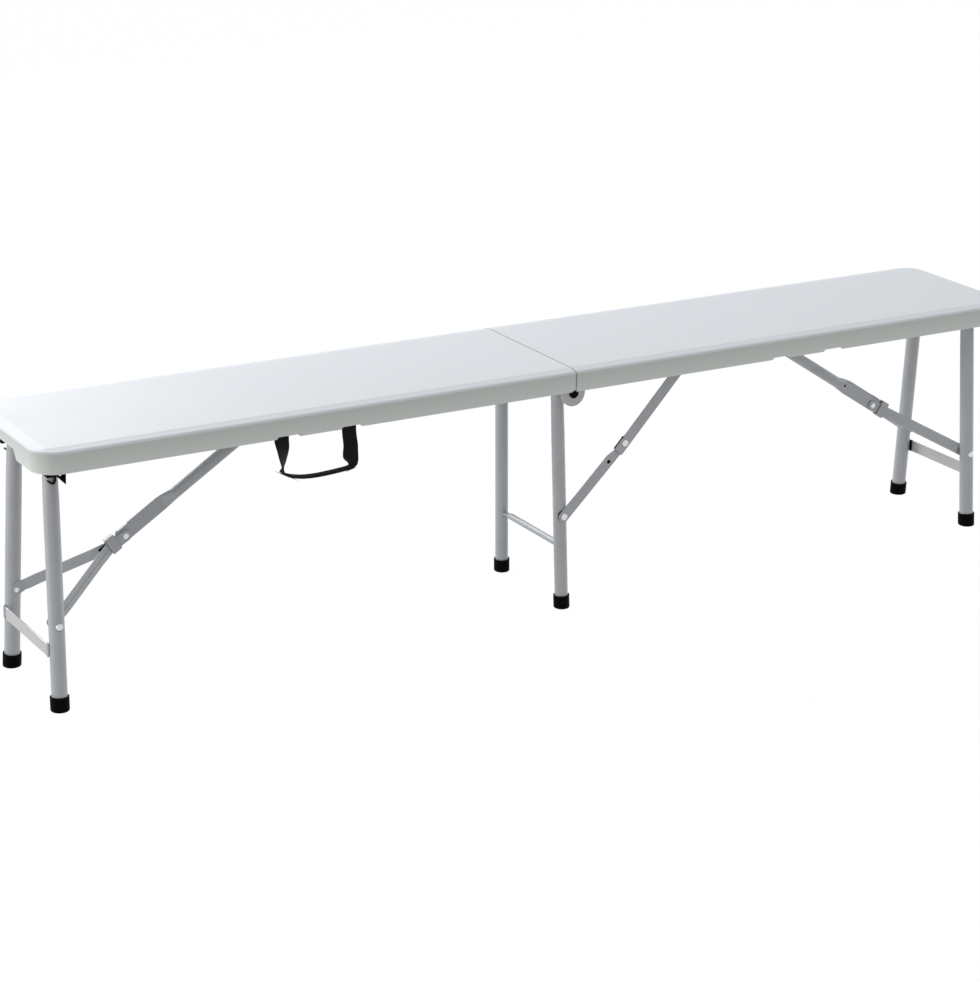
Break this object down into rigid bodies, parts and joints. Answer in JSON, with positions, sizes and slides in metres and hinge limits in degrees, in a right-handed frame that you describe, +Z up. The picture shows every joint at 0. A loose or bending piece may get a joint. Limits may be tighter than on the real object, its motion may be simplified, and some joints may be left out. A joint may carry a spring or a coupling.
{
  "type": "folding bench",
  "caption": "Long backless bench that folds in half at a centre hinge, with a moulded seat, folding steel legs, braces and a webbing handle.",
  "frame": {"origin": "middle of the bench at floor level", "axes": "+X along the bench towards the half that carries the middle legs, +Y across it away from the handle side, +Z up"},
  "size_m": [1.83, 0.293, 0.426],
  "materials": {
    "seat_plastic": "off-white moulded polyethylene with a fine grain",
    "coated_steel": "grey powder coat, half gloss",
    "plate_steel": "grey plated sheet steel",
    "zinc_steel": "zinc-plated rod",
    "zinc_rivet": "bright zinc",
    "foot_rubber": "black moulded rubber",
    "black_plastic": "black moulded plastic",
    "webbing": "black woven webbing"
  },
  "bodies": {
    "right_half": {"panel_right": "seat_plastic", "right_pivot_rod": "zinc_steel", "right_link_rod": "zinc_steel", "rail_right_near": "coated_steel", "rail_right_far": "coated_steel", "hinge_plate_right_near": "plate_steel", "hinge_plate_right_far": "plate_steel", "hinge_axle": "zinc_steel", "hinge_cap_near": "black_plastic", "hinge_cap_far": "black_plastic", "mid_link_pin": "zinc_steel"},
    "right_legs": {"right_leg_near": "coated_steel", "right_leg_far": "coated_steel", "right_foot_near": "foot_rubber", "right_foot_far": "foot_rubber", "right_leg_block_near": "black_plastic", "right_leg_block_far": "black_plastic", "right_leg_rivet_near": "zinc_rivet", "right_leg_rivet_far": "zinc_rivet", "right_leg_bar": "coated_steel"},
    "right_link": {"right_link": "coated_steel"},
    "right_arms": {"right_arm_near": "coated_steel", "right_arm_far": "coated_steel", "right_elbow_rivet": "zinc_rivet"},
    "right_lock": {"right_lock_sleeve": "coated_steel"},
    "left_half": {"panel_left": "seat_plastic", "left_pivot_rod": "zinc_steel", "left_link_rod": "zinc_steel", "rail_left_near": "coated_steel", "rail_left_far": "coated_steel", "hinge_plate_left_near": "plate_steel", "hinge_plate_left_far": "plate_steel", "handle_anchor_left": "webbing", "handle_anchor_right": "webbing"},
    "left_legs": {"left_leg_near": "coated_steel", "left_leg_far": "coated_steel", "left_foot_near": "foot_rubber", "left_foot_far": "foot_rubber", "left_leg_block_near": "black_plastic", "left_leg_block_far": "black_plastic", "left_leg_rivet_near": "zinc_rivet", "left_leg_rivet_far": "zinc_rivet", "left_leg_bar": "coated_steel"},
    "left_link": {"left_link": "coated_steel"},
    "left_arms": {"left_arm_near": "coated_steel", "left_arm_far": "coated_steel", "left_elbow_rivet": "zinc_rivet"},
    "left_lock": {"left_lock_sleeve": "coated_steel"},
    "mid_legs": {"mid_leg_near": "coated_steel", "mid_leg_far": "coated_steel", "mid_foot_near": "foot_rubber", "mid_foot_far": "foot_rubber", "mid_leg_bar": "coated_steel", "mid_leg_rivet": "zinc_rivet"},
    "mid_upper": {"mid_upper_link": "coated_steel"},
    "mid_lower": {"mid_lower_link": "coated_steel", "mid_elbow_rivet": "zinc_rivet"},
    "handle": {"handle_strap": "webbing"}
  },
  "joints": [
    {"name": "centre_fold", "type": "hinge", "parent": "right_half", "child": "left_half", "pos_m": [0, 0, 0.385], "axis": [0, -1, 0], "range_deg": [0, 180]},
    {"name": "left_leg_fold", "type": "hinge", "parent": "left_half", "child": "left_legs", "pos_m": [-0.869, 0, 0.402], "axis": [0, -1, 0], "range_deg": [0, 91.35]},
    {"name": "left_link_turn", "type": "hinge", "parent": "left_half", "child": "left_link", "pos_m": [-0.4456, 0, 0.403], "axis": [0, 1, 0], "range_deg": [0, 32.49]},
    {"name": "left_elbow_turn", "type": "hinge", "parent": "left_link", "child": "left_arms", "pos_m": [-0.7233, 0, 0.222], "axis": [0, -1, 0], "range_deg": [0, 183.53]},
    {"name": "left_lock_slide", "type": "slide", "parent": "left_link", "child": "left_lock", "axis": [0.8427, 0, 0.5384], "range_m": [0, 0.09]},
    {"name": "right_leg_fold", "type": "hinge", "parent": "right_half", "child": "right_legs", "pos_m": [0.869, 0, 0.402], "axis": [0, 1, 0], "range_deg": [0, 91.35]},
    {"name": "right_link_turn", "type": "hinge", "parent": "right_half", "child": "right_link", "pos_m": [0.4456, 0, 0.403], "axis": [0, -1, 0], "range_deg": [0, 32.49]},
    {"name": "right_elbow_turn", "type": "hinge", "parent": "right_link", "child": "right_arms", "pos_m": [0.7233, 0, 0.222], "axis": [0, 1, 0], "range_deg": [0, 183.53]},
    {"name": "right_lock_slide", "type": "slide", "parent": "right_link", "child": "right_lock", "axis": [-0.8427, 0, 0.5384], "range_m": [0, 0.09]},
    {"name": "mid_leg_fold", "type": "hinge", "parent": "right_half", "child": "mid_legs", "pos_m": [0, 0, 0.385], "axis": [0, -1, 0], "range_deg": [0, 88.01]},
    {"name": "mid_link_turn", "type": "hinge", "parent": "right_half", "child": "mid_upper", "pos_m": [0.2409, 0, 0.405], "axis": [0, 1, 0], "range_deg": [0, 45.81]},
    {"name": "mid_elbow_turn", "type": "hinge", "parent": "mid_upper", "child": "mid_lower", "pos_m": [0.12099, 0, 0.2745], "axis": [0, -1, 0], "range_deg": [0, 175.96]},
    {"name": "handle_swing", "type": "hinge", "parent": "left_half", "child": "handle", "pos_m": [-0.4695, -0.13775, 0.3876], "axis": [-1, 0, 0], "range_deg": [0, 90]}
  ],
  "couplings": [
    {"joint": "left_leg_fold", "follows": "centre_fold", "ratio": 0.50752},
    {"joint": "left_link_turn", "follows": "centre_fold", "ratio": 0.1805},
    {"joint": "left_elbow_turn", "follows": "centre_fold", "ratio": 1.0196},
    {"joint": "left_lock_slide", "follows": "centre_fold", "m_per_rad": 0.028647},
    {"joint": "right_leg_fold", "follows": "centre_fold", "ratio": 0.50752},
    {"joint": "right_link_turn", "follows": "centre_fold", "ratio": 0.1805},
    {"joint": "right_elbow_turn", "follows": "centre_fold", "ratio": 1.0196},
    {"joint": "right_lock_slide", "follows": "centre_fold", "m_per_rad": 0.028647},
    {"joint": "mid_leg_fold", "follows": "centre_fold", "ratio": 0.48892},
    {"joint": "mid_link_turn", "follows": "centre_fold", "ratio": 0.25447},
    {"joint": "mid_elbow_turn", "follows": "centre_fold", "ratio": 0.97756},
    {"joint": "handle_swing", "follows": "centre_fold", "ratio": 0.5}
  ]
}
